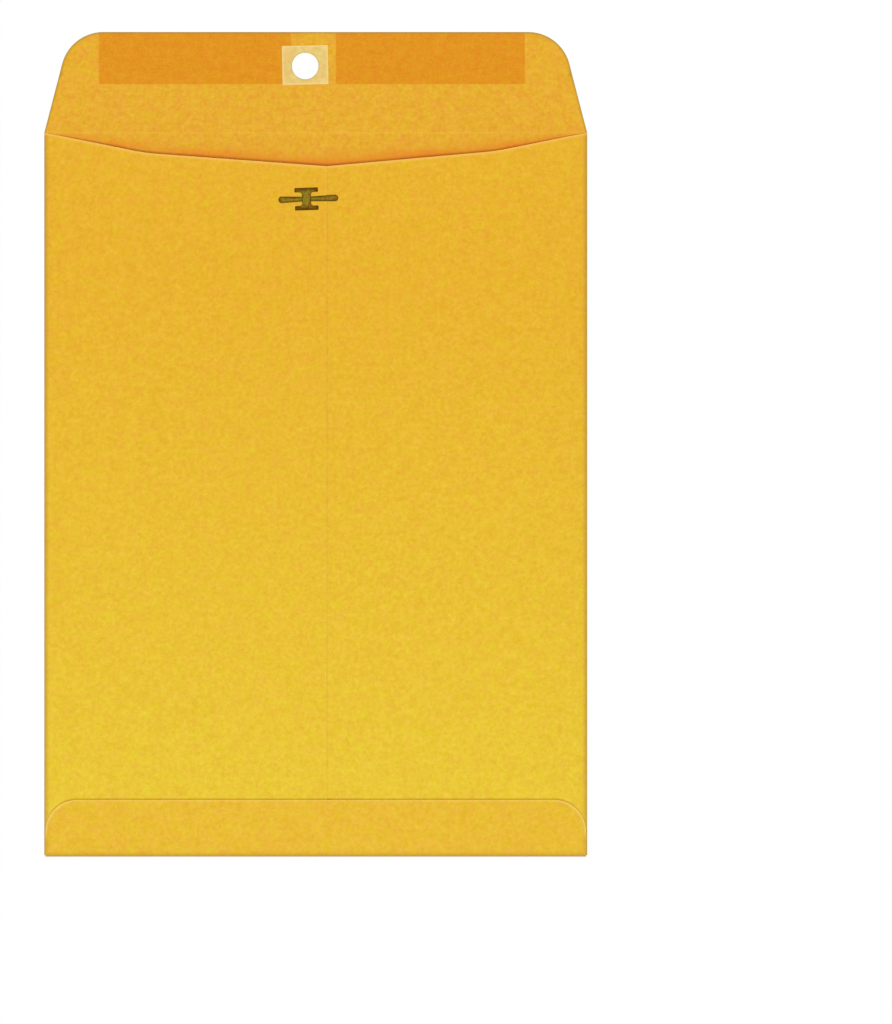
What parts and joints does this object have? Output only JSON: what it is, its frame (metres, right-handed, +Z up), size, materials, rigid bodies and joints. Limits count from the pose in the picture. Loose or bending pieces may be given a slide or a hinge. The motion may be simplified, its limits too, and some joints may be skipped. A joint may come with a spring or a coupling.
{
  "type": "clasp envelope",
  "caption": "Kraft paper catalogue envelope with a glued centre seam, gummed seal flap with a reinforced hole, and a metal clasp with bending prongs.",
  "frame": {"origin": "middle of the open envelope's footprint, on the surface that it lies on", "axes": "+Y towards the open seal flap, +X to the right when the clasp side is seen from above, +Z up out of the clasp side"},
  "size_m": [0.2286, 0.3472, 0.0059],
  "materials": {
    "kraft_paper": "smooth golden kraft paper, matte",
    "dry_gum": "thin dried remoistenable gum, slight gloss over the kraft",
    "patch_paper": "pale glued reinforcement paper, matte",
    "dried_glue": "dried adhesive film between two plies",
    "clasp_metal": "thin stamped metal, dull brass"
  },
  "bodies": {
    "envelope": {"front_panel": "kraft_paper", "right_back_panel": "kraft_paper", "left_back_panel": "kraft_paper", "center_seam_glue": "dried_glue", "bottom_flap_glue": "dried_glue", "bottom_flap": "kraft_paper", "clasp_base": "clasp_metal"},
    "flap": {"seal_flap": "kraft_paper", "gum_strip_left": "dry_gum", "gum_strip_right": "dry_gum", "hole_patch": "patch_paper"},
    "left_prong": {"left_prong": "clasp_metal"},
    "right_prong": {"right_prong": "clasp_metal"}
  },
  "joints": [
    {"name": "flap_crease", "type": "hinge", "parent": "envelope", "child": "flap", "pos_m": [0, 0.1312, 0.0032], "axis": [1, 0, 0], "range_deg": [0, 180]},
    {"name": "left_prong_bend", "type": "hinge", "parent": "envelope", "child": "left_prong", "pos_m": [-0.00585, 0.10303, 0.00561], "axis": [-0.0349, 0.9994, 0], "range_deg": [0, 90]},
    {"name": "right_prong_bend", "type": "hinge", "parent": "envelope", "child": "right_prong", "pos_m": [-0.00175, 0.10317, 0.00561], "axis": [0.0349, -0.9994, 0], "range_deg": [0, 90]}
  ]
}
